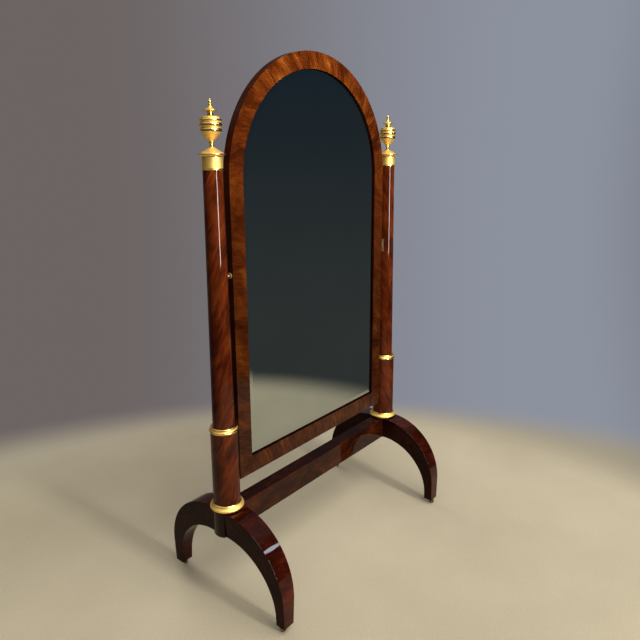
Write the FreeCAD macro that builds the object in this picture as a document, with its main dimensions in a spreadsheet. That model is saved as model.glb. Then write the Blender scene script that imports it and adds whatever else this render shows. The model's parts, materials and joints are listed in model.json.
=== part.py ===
import FreeCAD, Part
import math
import os
import Sketcher
from FreeCAD import Placement, Rotation, Vector

# Cheval floor mirror: an arched swing mirror between two turned columns on four curved legs.
# Frame: millimetres, X along the width, front towards -Y, Z up, origin on the floor at the centre.

os.makedirs("parts", exist_ok=True)
doc = FreeCAD.newDocument("cheval_floor_mirror")

# ---------------------------------------------------------------- driving dimensions (mm)
DIMENSIONS = {
    # overall layout
    "column_spacing": 900,  # between the two column axes
    "turn_clearance": 62.9,  # from the stretcher's top to the frame as it turns over
    "frame_below_pivot": 669,  # pivot axis to the frame's bottom edge
    "springing_above_pivot": 282,  # pivot axis to the centre of the round head
    "column_above_pivot": 312,  # pivot axis to the top of the turned shaft
    # legs
    "leg_rise": 305,
    "leg_reach": 262,  # column axis to the outer face of a foot
    "foot_depth": 35,
    "foot_width": 42.5,
    "leg_root_width": 74,
    "leg_root_depth": 86,
    "outer_foot_straight": 80,
    "outer_root_straight": 37,
    "inner_foot_straight": 29,
    "inner_root_straight": 37,
    "leg_edge_round": 2,
    # hub, stretcher and their joints
    "hub_diameter": 90,
    "hub_cap_inset": 5.3,  # cap edge inside the base ring's edge
    "hub_cap_thickness": 6,
    "stretcher_depth": 51,
    "stretcher_height": 83,
    "stretcher_edge_round": 1.5,
    "tenon_length": 14,
    "tenon_thickness": 20,
    "tenon_height": 50,
    "joint_gap": 0.5,  # space left at the end of each blind joint
    "dowel_diameter": 10,
    "dowel_in_hub": 15,
    "dowel_in_leg": 30,
    "dowel_offset": 15,
    # column
    "drum_diameter": 86.6,
    "drum_length": 258,
    "shaft_bottom_diameter": 70.2,
    "shaft_top_diameter": 57.4,
    "spigot_diameter": 30,
    "spigot_length": 30,
    "rod_diameter": 12,
    "rod_in_shaft": 60,
    "rod_hole_clearance": 0.2,
    "nut_width": 24,
    "nut_thickness": 8,
    "washer_diameter": 34,
    "washer_thickness": 3,
    "nut_recess": 2,  # how deep the nut sits inside the hub's underside
    # bronze mounts
    "base_ring_height": 18,
    "base_ring_projection": 11,
    "middle_ring_height": 17,
    "middle_ring_projection": 2.7,
    "mount_clearance": 0.1,
    "neck_diameter": 52,  # turned neck of the shaft inside the capital
    "neck_length": 38,
    "capital_bead": 1.6,
    "capital_height": 46,
    "capital_projection": 10,  # eave beyond the capital's round body
    "finial_rod_diameter": 6,
    "finial_rod_in_shaft": 40,
    "finial_rod_in_lid": 12,
    "finial_waist": 9,
    "finial_base_height": 33,
    "urn_diameter": 63,
    "urn_height": 54,
    "lid_height": 62,
    "lid_disc_diameter": 40,
    # pivot
    "plate_width": 18,
    "plate_height": 50,
    "plate_thickness": 3,
    "plate_proud": 0.8,
    "pin_diameter": 8,
    "pin_clearance": 0.05,  # radial running clearance
    "pin_flange_diameter": 18,
    "pin_flange_thickness": 3,
    "pin_in_column": 10,
    "pin_in_stile": 30,
    "pin_bore_clearance": 1,
    "friction_washer_diameter": 16,
    "friction_washer_thickness": 2,
    # swing frame
    "side_clearance": 3.9,  # between the middle ring and the frame
    "frame_thickness": 27,
    "stile_width": 54.5,
    "rail_width": 60,
    "frame_edge_round": 1,
    "glass_setback": 6,
    "glass_lip": 8,
    "glass_thickness": 4,
    "glass_clearance": 0.5,
    "bevel_width": 26,
    "bevel_depth": 1.5,
    "board_step": 7,
    "board_thickness": 8,
    "fillet_width": 10,
    "frame_tenon_thickness": 8,
    "frame_tenon_width": 22,
    "frame_tenon_length": 25,
    "board_screw_inset": 4,
    # casters
    "wheel_diameter": 20,
    "wheel_width": 9,
    "wheel_side_gap": 0.5,
    "wheel_chamfer": 1,
    "axle_diameter": 3,
    "caster_trail": 6,
    "cheek_thickness": 1.5,
    "cheek_width": 8,
    "crown_diameter": 24,
    "crown_gap": 0.8,
    "crown_thickness": 1.6,
    "swivel_gap": 0.4,
    "caster_plate_thickness": 2.2,
    "caster_plate_margin": 2.5,
    "stem_diameter": 8,
    "stem_head_diameter": 11,
    "stem_head_thickness": 2,
    "stem_pocket_clearance": 1,
    # screws
    "screw_diameter": 3,
    "screw_head_diameter": 5.6,
    "screw_head_height": 1.6,
    "screw_length": 14,
}

sheet = doc.addObject("Spreadsheet::Sheet", "Dims")
for row, (alias, amount) in enumerate(DIMENSIONS.items(), start=1):
    sheet.set(f"A{row}", alias)
    sheet.set(f"B{row}", str(amount))
    sheet.setAlias(f"B{row}", alias)
doc.recompute()


class Size:
    """A length that carries both its number and the formula on the sheet that gives it."""

    def __init__(self, value, formula=None):
        self.value = float(value)
        self.formula = formula or repr(float(value))

    def combine(self, sign, other, value):
        return Size(value, f"({self.formula} {sign} {other.formula})")

    def __add__(self, other):
        other = size(other)
        return self.combine("+", other, self.value + other.value)

    def __sub__(self, other):
        other = size(other)
        return self.combine("-", other, self.value - other.value)

    def __mul__(self, other):
        other = size(other)
        return self.combine("*", other, self.value * other.value)

    def __truediv__(self, other):
        other = size(other)
        return self.combine("/", other, self.value / other.value)

    def __rsub__(self, other):
        return size(other) - self

    def __neg__(self):
        return Size(-self.value, f"(0 - {self.formula})")

    __radd__ = __add__
    __rmul__ = __mul__


def size(amount):
    return amount if isinstance(amount, Size) else Size(amount)


def root(amount):
    return Size(math.sqrt(amount.value), f"sqrt({amount.formula})")


def smaller(first, second):
    return Size(min(first.value, second.value), f"min({first.formula}; {second.formula})")


def larger(first, second):
    return Size(max(first.value, second.value), f"max({first.formula}; {second.formula})")


def half_chord(radius, distance):
    """Half the width of a flat cut at a distance from the axis of a cylinder."""
    return root(radius * radius - distance * distance)


d = {alias: Size(sheet.get(alias), f"Dims.{alias}") for alias in DIMENSIONS}

# ---------------------------------------------------------------- derived sizes
caster_height = d["wheel_diameter"] + d["crown_gap"] + d["crown_thickness"]
caster_height = caster_height + d["swivel_gap"] + d["caster_plate_thickness"]
leg_top = caster_height + d["leg_rise"]
root_bottom = leg_top - d["leg_root_depth"]
column_x = d["column_spacing"] / 2
hub_radius = d["hub_diameter"] / 2
root_half_width = d["leg_root_width"] / 2
root_plane = half_chord(hub_radius, root_half_width)
stretcher_end = half_chord(hub_radius, d["stretcher_depth"] / 2)
cap_top = leg_top + d["hub_cap_thickness"]
drum_radius = d["drum_diameter"] / 2
drum_top = cap_top + d["drum_length"]
ring_radius = drum_radius + d["middle_ring_projection"]
frame_half_width = column_x - ring_radius - d["side_clearance"]
turn_radius = larger(d["frame_below_pivot"], d["springing_above_pivot"] + frame_half_width)
pivot_height = leg_top + d["turn_clearance"] + turn_radius
frame_bottom = pivot_height - d["frame_below_pivot"]
springing = pivot_height + d["springing_above_pivot"]
shaft_top = pivot_height + d["column_above_pivot"]
capital_top = shaft_top + d["capital_height"]
urn_foot = capital_top + d["finial_base_height"]
lid_foot = urn_foot + d["urn_height"]
shaft_bottom_radius = d["shaft_bottom_diameter"] / 2
shaft_top_radius = d["shaft_top_diameter"] / 2
shaft_slope = (shaft_bottom_radius - shaft_top_radius) / (shaft_top - drum_top)
shaft_radius_at_pivot = shaft_bottom_radius - shaft_slope * (pivot_height - drum_top)
plate_face = shaft_radius_at_pivot + d["plate_proud"]
plate_seat = plate_face - d["plate_thickness"]
rod_hole_radius = d["rod_diameter"] / 2 + d["rod_hole_clearance"]
foot_centre = d["leg_reach"] - d["foot_depth"] / 2
sight = frame_half_width - d["stile_width"]
half_thickness = d["frame_thickness"] / 2
board_depth = d["frame_thickness"] - d["board_thickness"]


# ---------------------------------------------------------------- modelling helpers
QUARTER_BULGE = 1 - math.sqrt(0.5)  # sagitta of a quarter circle, as a share of its radius
BEYOND = 5  # how far a cutting tool runs past the piece that it cuts
LONG_EDGE = 200  # edges longer than this run along a rail


def bind(item, prop, amount):
    """Set a property and tie it to the sheet."""
    amount = size(amount)
    item.setExpression(prop, amount.formula)


def place(item, x=0, y=0, z=0, rotation=None):
    """Put an object at a point that follows the sheet, turned by a fixed rotation."""
    point = [size(amount) for amount in (x, y, z)]
    base = Vector(*(amount.value for amount in point))
    item.Placement = Placement(base, rotation or Rotation())
    for axis, amount in zip("xyz", point):
        item.setExpression(f".Placement.Base.{axis}", amount.formula)
    return item


def add(kind, label):
    item = doc.addObject(kind, label)
    item.Label = label
    return item


def box(label, low, high):
    """A block between two corners."""
    item = add("Part::Box", label)
    for prop, first, last in zip(("Length", "Width", "Height"), low, high):
        bind(item, prop, size(last) - first)
    return place(item, *low)


AXIS_TURN = {
    "x": Rotation(Vector(0, 1, 0), 90),
    "y": Rotation(Vector(1, 0, 0), -90),
    "z": Rotation(),
}


def cylinder(label, radius, length, start, axis="z"):
    """A round bar that runs along the positive axis from its start point."""
    item = add("Part::Cylinder", label)
    bind(item, "Radius", radius)
    bind(item, "Height", length)
    return place(item, *start, AXIS_TURN[axis])


def cut(label, base, tools):
    item = add("Part::Cut", label)
    item.Base = base
    item.Tool = tools[0] if len(tools) == 1 else fuse(label + "_tools", tools)
    return item


def fuse(label, shapes):
    item = add("Part::MultiFuse", label)
    item.Shapes = shapes
    return item


def group(label, shapes):
    """Identical small pieces that stay separate solids in one node."""
    item = add("Part::Compound", label)
    item.Links = shapes
    return item


def mirrored(label, source):
    """The same piece on the other side of the YZ plane."""
    item = add("Part::Mirroring", label)
    item.Source = source
    item.Normal = Vector(1, 0, 0)
    return item


def sketch_on(body, plane, label, depth=0):
    """An empty sketch on one of the body's own origin planes."""
    sketch = body.newObject("Sketcher::SketchObject", label)
    origin_plane = next(item for item in body.Origin.OriginFeatures if item.Role == plane)
    sketch.AttachmentSupport = [(origin_plane, "")]
    sketch.MapMode = "FlatFace"
    bind(sketch, "AttachmentOffset.Base.z", depth)
    return sketch


def pin_point(sketch, index, end, point):
    """Tie one end of a sketch edge to coordinates from the sheet."""
    for kind, axis, amount in (("DistanceX", -2, point[0]), ("DistanceY", -1, point[1])):
        amount = size(amount)
        if amount.formula == "0.0":
            sketch.addConstraint(Sketcher.Constraint("PointOnObject", index, end, axis))
        else:
            rule = Sketcher.Constraint(kind, -1, 1, index, end, amount.value)
            number = sketch.addConstraint(rule)
            sketch.setExpression(f"Constraints[{number}]", amount.formula)


def outline(sketch, points):
    """A closed outline. A point may carry the sagitta of the arc that leads to the next one:
    positive bulges to the left of the way round, negative to the right."""
    edges = []
    corners = [(size(point[0]), size(point[1])) for point in points]
    for number, point in enumerate(points):
        start = corners[number]
        end = corners[(number + 1) % len(points)]
        first = Vector(start[0].value, start[1].value, 0)
        last = Vector(end[0].value, end[1].value, 0)
        if len(point) == 2:
            edges.append((sketch.addGeometry(Part.LineSegment(first, last)), 1, 2))
            continue
        sagitta = size(point[2])
        run = last - first
        side = Vector(-run.y, run.x, 0).normalize()
        middle = (first + last) * 0.5 + side * sagitta.value
        clockwise = sagitta.value > 0
        arc = Part.Arc(last, middle, first) if clockwise else Part.Arc(first, middle, last)
        index = sketch.addGeometry(arc)
        edges.append((index, 2, 1) if clockwise else (index, 1, 2))
        span_x, span_y = end[0] - start[0], end[1] - start[1]
        half_span_squared = (span_x * span_x + span_y * span_y) / 4
        radius = (half_span_squared + sagitta * sagitta) / (2 * sagitta)
        if not clockwise:
            radius = -radius
        rule = sketch.addConstraint(Sketcher.Constraint("Radius", index, radius.value))
        sketch.setExpression(f"Constraints[{rule}]", radius.formula)
    for number, (index, begin, finish) in enumerate(edges):
        follower, follower_begin, _ = edges[(number + 1) % len(edges)]
        link = Sketcher.Constraint("Coincident", index, finish, follower, follower_begin)
        sketch.addConstraint(link)
        pin_point(sketch, index, begin, corners[number])
    return sketch


def circle(sketch, centre, radius):
    middle = Vector(size(centre[0]).value, size(centre[1]).value, 0)
    index = sketch.addGeometry(Part.Circle(middle, Vector(0, 0, 1), radius.value))
    pin_point(sketch, index, 3, centre)
    rule = sketch.addConstraint(Sketcher.Constraint("Radius", index, radius.value))
    sketch.setExpression(f"Constraints[{rule}]", radius.formula)
    return sketch


def pad(body, sketch, length, both_ways=False):
    feature = body.newObject("PartDesign::Pad", sketch.Name + "_pad")
    feature.Profile = sketch
    bind(feature, "Length", length)
    feature.Midplane = both_ways
    return feature


def pocket(body, sketch, length, both_ways=False):
    feature = body.newObject("PartDesign::Pocket", sketch.Name + "_pocket")
    feature.Profile = sketch
    bind(feature, "Length", length)
    feature.Midplane = both_ways
    return feature


def new_body(label):
    return add("PartDesign::Body", label)


def turned(label, points):
    """A piece turned about the Z axis from a half outline of (radius, height) points."""
    body = new_body(label)
    sketch = outline(sketch_on(body, "XZ_Plane", label + "_outline"), points)
    turn = body.newObject("PartDesign::Revolution", label + "_turn")
    turn.Profile = sketch
    turn.ReferenceAxis = (sketch, ["V_Axis"])
    turn.Angle = 360
    return body


def dressed(body, kind, prop, amount, chosen):
    """Work the edges of a body's last feature that the test picks."""
    doc.recompute()
    tip = body.Tip
    names = [f"Edge{number}" for number, edge in enumerate(tip.Shape.Edges, 1) if chosen(edge)]
    feature = body.newObject(kind, body.Name + "_edges")
    feature.Base = (tip, names)
    bind(feature, prop, amount)
    return feature


def rounded(body, radius, chosen):
    return dressed(body, "PartDesign::Fillet", "Radius", radius, chosen)


def chamfered(body, amount, chosen):
    return dressed(body, "PartDesign::Chamfer", "Size", amount, chosen)


NODES = {}


def keep(item, label=None):
    """Note a finished sub-part under the name of its file."""
    if label:
        item.Label = label
    NODES[item.Label] = item
    return item


def both_sides(name, left):
    """Keep a left-hand piece and its mirror image."""
    keep(left, name + "_left")
    return left, keep(mirrored(name + "_right", left))


def screw(label, point, turn=None):
    """A countersunk wood screw, head face at the point, tip upwards unless turned."""
    head_radius = d["screw_head_diameter"] / 2
    shank_radius = d["screw_diameter"] / 2
    head = add("Part::Cone", label + "_head")
    bind(head, "Radius1", head_radius)
    bind(head, "Radius2", shank_radius)
    bind(head, "Height", d["screw_head_height"])
    shank = cylinder(label + "_shank", shank_radius, d["screw_length"], (0, 0, 0))
    body = fuse(label, [head, shank])
    return place(body, *point, turn)


# ---------------------------------------------------------------- stand: hubs and stretcher
def make_hub():
    """Turned block at the foot of the left column, with flats for the legs and the stretcher."""
    height = leg_top - root_bottom
    block = cylinder("hub_block", hub_radius, height, (-column_x, 0, root_bottom))
    keep_low = (-column_x - hub_radius - BEYOND, -root_plane, root_bottom - BEYOND)
    keep_high = (stretcher_end - column_x, root_plane, leg_top + BEYOND)
    trimmed = add("Part::Common", "hub_trimmed")
    trimmed.Base = block
    trimmed.Tool = box("hub_flats", keep_low, keep_high)
    cap_radius = drum_radius + d["base_ring_projection"] - d["hub_cap_inset"]
    cap = cylinder("hub_cap", cap_radius, d["hub_cap_thickness"], (-column_x, 0, leg_top))
    solid = fuse("hub_solid", [trimmed, cap])
    spigot_radius = d["spigot_diameter"] / 2
    socket_bottom = cap_top - d["spigot_length"]
    socket = cylinder("hub_socket", spigot_radius, d["spigot_length"] + BEYOND,
                      (-column_x, 0, socket_bottom))
    below = (-column_x, 0, root_bottom - BEYOND)
    rod_hole = cylinder("hub_rod_hole", rod_hole_radius, height + BEYOND * 3, below)
    nut_room = d["washer_thickness"] + d["nut_thickness"] + d["nut_recess"]
    recess_radius = d["washer_diameter"] / 2 + d["joint_gap"]
    recess = cylinder("hub_nut_recess", recess_radius, nut_room + BEYOND, below)
    mortise = box("hub_mortise", *tenon_box(stretcher_end - column_x + BEYOND, d["joint_gap"]))
    return cut("hub", solid, [socket, rod_hole, recess, mortise])


def tenon_box(outer_x, extra):
    """The stretcher's stub tenon at the left hub; the mortise is deeper by the extra length."""
    end = stretcher_end - column_x
    middle = leg_top - d["stretcher_height"] / 2
    low = (end - d["tenon_length"] - extra, -d["tenon_thickness"] / 2, middle - d["tenon_height"] / 2)
    return low, (outer_x, d["tenon_thickness"] / 2, middle + d["tenon_height"] / 2)


both_sides("hub", make_hub())

stretcher = new_body("stretcher")
section = sketch_on(stretcher, "YZ_Plane", "stretcher_section")
half_depth = d["stretcher_depth"] / 2
section_low, section_high = leg_top - d["stretcher_height"], leg_top
outline(section, [(-half_depth, section_low), (half_depth, section_low),
                  (half_depth, section_high), (-half_depth, section_high)])
pad(stretcher, section, (column_x - stretcher_end) * 2, both_ways=True)
rounded(stretcher, d["stretcher_edge_round"], lambda edge: edge.Length > LONG_EDGE)
stub = sketch_on(stretcher, "YZ_Plane", "stretcher_tenon")
tenon_half = d["tenon_thickness"] / 2
tenon_low = leg_top - d["stretcher_height"] / 2 - d["tenon_height"] / 2
tenon_high = tenon_low + d["tenon_height"]
outline(stub, [(-tenon_half, tenon_low), (tenon_half, tenon_low),
               (tenon_half, tenon_high), (-tenon_half, tenon_high)])
pad(stretcher, stub, (column_x - stretcher_end + d["tenon_length"]) * 2, both_ways=True)
keep(stretcher)


# ---------------------------------------------------------------- stand: legs
def make_leg(label):
    """One curved leg, drawn towards +Y from the column axis, thick at its root, thin at its foot."""
    body = new_body(label + "_wood")
    reach, inner_reach = d["leg_reach"], d["leg_reach"] - d["foot_depth"]
    outer_round = smaller(d["leg_rise"] - d["outer_foot_straight"],
                          reach - d["outer_root_straight"])
    inner_rise = root_bottom - caster_height
    inner_round = smaller(inner_rise - d["inner_foot_straight"],
                          inner_reach - d["inner_root_straight"])
    side = sketch_on(body, "YZ_Plane", label + "_side")
    outline(side, [
        (root_plane, root_bottom),
        (inner_reach - inner_round, root_bottom, inner_round * QUARTER_BULGE),
        (inner_reach, root_bottom - inner_round),
        (inner_reach, caster_height),
        (reach, caster_height),
        (reach, leg_top - outer_round, -outer_round * QUARTER_BULGE),
        (reach - outer_round, leg_top),
        (root_plane, leg_top),
    ])
    pad(body, side, d["leg_root_width"], both_ways=True)
    foot_half = d["foot_width"] / 2
    beyond = root_half_width + BEYOND
    for way in (-1, 1):
        name = label + ("_taper_left" if way < 0 else "_taper_right")
        taper = sketch_on(body, "XZ_Plane", name)
        outline(taper, [(foot_half * way, caster_height), (beyond * way, caster_height),
                        (beyond * way, leg_top), (root_half_width * way, leg_top)])
        pocket(body, taper, (reach + BEYOND) * 2, both_ways=True)
    rounded(body, d["leg_edge_round"], is_leg_edge)
    return body


def is_leg_edge(edge):
    """The long edges along the sides of a leg, not those of its root or foot."""
    reach = edge.BoundBox
    beside = abs(edge.CenterOfMass.x) > BEYOND
    return beside and reach.YMax > root_plane.value + 1 and reach.ZMax > caster_height.value + 1


dowels = []
dowel_length = d["dowel_in_hub"] + d["dowel_in_leg"]
dowel_height = root_bottom + d["leg_root_depth"] / 2 - d["dowel_diameter"] / 2
pocket_radius = d["stem_head_diameter"] / 2 + d["stem_pocket_clearance"]
pocket_depth = d["swivel_gap"] + d["stem_head_thickness"] + d["stem_pocket_clearance"]
LEG_ROWS = (
    ("front", -1, Rotation(Vector(0, 0, 1), 180), -root_plane - d["dowel_in_leg"]),
    ("back", 1, Rotation(), root_plane - d["dowel_in_hub"]),
)
for end, way, turn, dowel_start in LEG_ROWS:
    leg_body = place(make_leg(f"leg_{end}"), -column_x, 0, 0, turn)
    stem_room = cylinder(f"leg_{end}_stem_room", pocket_radius, pocket_depth + BEYOND,
                         (-column_x, foot_centre * way, caster_height - BEYOND))
    both_sides(f"leg_{end}", cut(f"leg_{end}", leg_body, [stem_room]))
    for sense in (-1, 1):
        for column in (-1, 1):
            start = (column_x * column + d["dowel_offset"] * sense, dowel_start, dowel_height)
            dowels.append(cylinder(f"dowel_{len(dowels)}", d["dowel_diameter"] / 2,
                                   dowel_length, start, "y"))
keep(group("leg_dowels", dowels))


# ---------------------------------------------------------------- columns
def make_drum():
    """Lower drum with a spigot for the hub and a socket for the shaft."""
    spigot = d["spigot_diameter"] / 2
    spigot_end = cap_top - d["spigot_length"] + d["joint_gap"]
    socket_floor = drum_top - d["spigot_length"]
    return turned("drum_left", [
        (rod_hole_radius, spigot_end), (spigot, spigot_end), (spigot, cap_top),
        (drum_radius, cap_top), (drum_radius, drum_top), (spigot, drum_top),
        (spigot, socket_floor), (rod_hole_radius, socket_floor),
    ])


def make_shaft():
    """Tapering upper shaft: a neck for the capital, holes for both rods, a flat for the plate."""
    rod_radius = d["rod_diameter"] / 2
    spigot = d["spigot_diameter"] / 2
    spigot_end = drum_top - d["spigot_length"] + d["joint_gap"]
    rod_end = drum_top + d["rod_in_shaft"]
    neck = d["neck_diameter"] / 2
    neck_top = shaft_top + d["neck_length"]
    finial_rod = d["finial_rod_diameter"] / 2
    finial_rod_end = neck_top - d["finial_rod_in_shaft"]
    shaft = turned("shaft_turned", [
        (rod_radius, spigot_end), (spigot, spigot_end), (spigot, drum_top),
        (shaft_bottom_radius, drum_top), (shaft_top_radius, shaft_top), (neck, shaft_top),
        (neck, neck_top), (finial_rod, neck_top), (finial_rod, finial_rod_end),
        (0, finial_rod_end), (0, rod_end), (rod_radius, rod_end),
    ])
    place(shaft, -column_x)
    half_height = d["plate_height"] / 2
    seat_low = (plate_seat - column_x, -shaft_bottom_radius, pivot_height - half_height)
    seat_high = (shaft_bottom_radius - column_x + BEYOND, shaft_bottom_radius,
                 pivot_height + half_height)
    bore_radius = d["pin_diameter"] / 2 + d["pin_bore_clearance"]
    bore_depth = d["pin_in_column"] + d["pin_bore_clearance"]
    bore_start = (plate_seat - bore_depth - column_x, 0, pivot_height)
    tools = [box("shaft_plate_seat", seat_low, seat_high),
             cylinder("shaft_pin_bore", bore_radius, bore_depth + BEYOND * 2, bore_start, "x")]
    return cut("shaft", shaft, tools)


both_sides("column_drum", place(make_drum(), -column_x))
both_sides("column_shaft", make_shaft())

rod_bottom = root_bottom + d["nut_recess"]
rod_length = drum_top + d["rod_in_shaft"] - rod_bottom
rods, nuts, washers = [], [], []
washer_bottom = rod_bottom + d["nut_thickness"]
for column in (-1, 1):
    axis_x = column_x * column
    foot = (axis_x, 0, rod_bottom)
    rods.append(cylinder(f"rod_{len(rods)}", d["rod_diameter"] / 2, rod_length, foot))
    disc = cylinder(f"washer_disc_{len(washers)}", d["washer_diameter"] / 2,
                    d["washer_thickness"], (axis_x, 0, washer_bottom))
    hole = cylinder(f"washer_hole_{len(washers)}", rod_hole_radius,
                    d["washer_thickness"] + BEYOND * 2, (axis_x, 0, washer_bottom - BEYOND))
    washers.append(cut(f"washer_{len(washers)}", disc, [hole]))
    prism = add("Part::Prism", f"nut_prism_{len(nuts)}")
    prism.Polygon = 6
    bind(prism, "Circumradius", d["nut_width"] / math.sqrt(3))
    bind(prism, "Height", d["nut_thickness"])
    place(prism, *foot)
    thread = cylinder(f"nut_thread_{len(nuts)}", d["rod_diameter"] / 2,
                      d["nut_thickness"] + BEYOND * 2, (axis_x, 0, rod_bottom - BEYOND))
    nuts.append(cut(f"nut_{len(nuts)}", prism, [thread]))
keep(group("column_tie_rods", rods))
keep(group("tie_rod_nuts", nuts))
keep(group("tie_rod_washers", washers))


# ---------------------------------------------------------------- gilt bronze mounts
# Each mount is a turned profile of radii and heights, stepped in from its outermost size.
def make_base_ring():
    """Sloping ring around the foot of the drum: a flat band below and a hollow above it."""
    bore = drum_radius + d["mount_clearance"]
    outer = drum_radius + d["base_ring_projection"]
    top = cap_top + d["base_ring_height"]
    band = cap_top + 5
    return turned("base_ring", [
        (bore, cap_top), (outer - 1, cap_top, -1), (outer - 1, band),
        (outer - 2.5, band + 1.5, 1.6), (bore + 3, top - 3), (bore + 3, top - 2, -0.8),
        (bore + 1.5, top), (bore, top),
    ])


def make_middle_ring():
    """Ring on the drum's shoulder: a bead above a cove and a wider bead below."""
    bore = shaft_bottom_radius + d["mount_clearance"]
    top = drum_top + d["middle_ring_height"]
    low_bead, high_bead = drum_top + 6, top - 5
    return turned("middle_ring", [
        (bore, drum_top), (ring_radius - 2, drum_top, -2), (ring_radius - 2, low_bead),
        (ring_radius - 3, low_bead + 1, 1.2), (ring_radius - 6, high_bead),
        (ring_radius - 5, high_bead, -1.6), (ring_radius - 5, top - 1), (bore, top),
    ])


def make_capital():
    """Round capital: a lower bead, a plain neck, a cove and a projecting eave."""
    bore = d["neck_diameter"] / 2 + d["mount_clearance"]
    body_radius = shaft_top_radius + 0.7
    eave = body_radius + d["capital_projection"]
    bead = d["capital_bead"]
    floor = shaft_top + d["neck_length"]
    top = capital_top
    rod = d["finial_rod_diameter"] / 2 + d["mount_clearance"]
    return turned("capital", [
        (bore, shaft_top), (body_radius, shaft_top, -bead), (body_radius, shaft_top + bead * 2.4),
        (body_radius, top - 9, 1.2), (body_radius + 3, top - 4.5), (eave - 1.5, top - 4),
        (eave, top - 3, -0.4), (eave, top - 0.6), (eave - 0.6, top),
        (rod, top), (rod, floor), (bore, floor),
    ])


def make_finial_base():
    """Socle of the finial: a low cone like a roof, rising to a thin waist with a collar."""
    foot = capital_top
    top = foot + d["finial_base_height"]
    rod = d["finial_rod_diameter"] / 2 + d["mount_clearance"]
    waist = d["finial_waist"] / 2
    flare = waist + 30
    return turned("finial_base", [
        (rod, foot), (flare, foot), (flare, foot + 0.8, 0.5), (flare - 5.5, foot + 3.6, -0.5),
        (waist + 3.5, foot + 16.5), (waist + 2.5, foot + 17.5), (waist + 2.5, foot + 20),
        (waist, foot + 21.5, 0.6),
        (waist, top - 7), (waist + 2.8, top - 5, -1.2), (waist + 2.8, top), (rod, top),
    ])


def make_urn():
    """Ringed urn: a rounded bowl, then two raised rings with grooves above them."""
    foot = urn_foot
    top = foot + d["urn_height"]
    rod = d["finial_rod_diameter"] / 2 + d["mount_clearance"]
    rim = d["urn_diameter"] / 2
    return turned("urn", [
        (rod, foot), (rim - 25, foot), (rim - 16, foot + 9), (rim - 7.5, foot + 18.5),
        (rim - 4, foot + 24), (rim - 2.5, foot + 26, -2), (rim - 2.5, foot + 34.5),
        (rim - 4.5, foot + 36), (rim - 4.5, foot + 39), (rim - 1.2, foot + 41, -1.9),
        (rim - 1.2, foot + 49.5), (rim - 3.5, foot + 51), (rim - 3.5, top), (rod, top),
    ])


def make_lid():
    """Lid of the urn: a third ring, a flat shoulder, a stalk, a small disc and a bead."""
    foot = lid_foot
    top = foot + d["lid_height"]
    rod = d["finial_rod_diameter"] / 2
    rod_end = foot + d["finial_rod_in_lid"]
    rim = d["urn_diameter"] / 2
    disc = d["lid_disc_diameter"] / 2
    return turned("lid", [
        (rod, foot), (rim - 3.5, foot), (rim - 1.2, foot + 1, -1.5), (rim - 1.2, foot + 6.5),
        (rim - 5.5, foot + 7.5), (rim - 6, foot + 12.5), (rim - 10, foot + 14),
        (12, foot + 15.2), (8.2, foot + 17),
        (8.2, foot + 24), (7.6, foot + 27), (disc - 1, foot + 29, -0.9), (disc - 1, foot + 32),
        (9, foot + 34, 0.9), (3.4, foot + 44), (3, foot + 49), (3, foot + 50, -2.4), (3, top - 5.5),
        (2.2, top - 4.5), (0, top), (0, rod_end), (rod, rod_end),
    ])


MOUNTS = {
    "base_ring": make_base_ring, "middle_ring": make_middle_ring, "capital": make_capital,
    "finial_base": make_finial_base, "finial_urn": make_urn, "finial_lid": make_lid,
}
for mount, make_mount in MOUNTS.items():
    both_sides(mount, place(make_mount(), -column_x))

finial_foot = shaft_top + d["neck_length"] - d["finial_rod_in_shaft"]
finial_rod_top = lid_foot + d["finial_rod_in_lid"]
finial_rods = [
    cylinder(f"finial_rod_{column}", d["finial_rod_diameter"] / 2,
             finial_rod_top - finial_foot, (column_x * way, 0, finial_foot))
    for column, way in (("left", -1), ("right", 1))
]
keep(group("finial_rods", finial_rods))


# ---------------------------------------------------------------- pivots
PLATE_SCREW_SHARE = 0.34  # screw height above and below the pin, as a share of the plate


def make_pivot_plate():
    """Brass plate let flat into the inner side of the left shaft; its hole carries the pin."""
    half_width, half_height = d["plate_width"] / 2, d["plate_height"] / 2
    slab = box("plate_slab", (plate_seat - column_x, -half_width, pivot_height - half_height),
               (plate_face - column_x, half_width, pivot_height + half_height))
    bearing = d["pin_diameter"] / 2 + d["pin_clearance"]
    hole_start = (plate_seat - BEYOND - column_x, 0, pivot_height)
    hole = cylinder("plate_hole", bearing, d["plate_thickness"] + BEYOND * 2, hole_start, "x")
    return cut("plate", slab, [hole])


def make_pivot_pin():
    """Brass pin: a shank in the stile, a flange against it, a journal that turns in the plate."""
    journal_end = plate_seat - d["pin_in_column"] - column_x
    shank_end = -frame_half_width + d["pin_in_stile"]
    radius = d["pin_diameter"] / 2
    bar = cylinder("pin_bar", radius, shank_end - journal_end, (journal_end, 0, pivot_height), "x")
    flange_start = (-frame_half_width - d["pin_flange_thickness"], 0, pivot_height)
    flange = cylinder("pin_flange", d["pin_flange_diameter"] / 2,
                      d["pin_flange_thickness"], flange_start, "x")
    return fuse("pin", [bar, flange])


def make_friction_washer():
    """Leather washer on the journal, against the pin's flange."""
    outer_end = -frame_half_width - d["pin_flange_thickness"] - d["friction_washer_thickness"]
    disc = cylinder("friction_disc", d["friction_washer_diameter"] / 2,
                    d["friction_washer_thickness"], (outer_end, 0, pivot_height), "x")
    hole = cylinder("friction_hole", d["pin_diameter"] / 2,
                    d["friction_washer_thickness"] + BEYOND * 2,
                    (outer_end - BEYOND, 0, pivot_height), "x")
    return cut("friction", disc, [hole])


both_sides("pivot_plate", make_pivot_plate())
both_sides("pivot_pin", make_pivot_pin())
both_sides("friction_washer", make_friction_washer())

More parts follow.
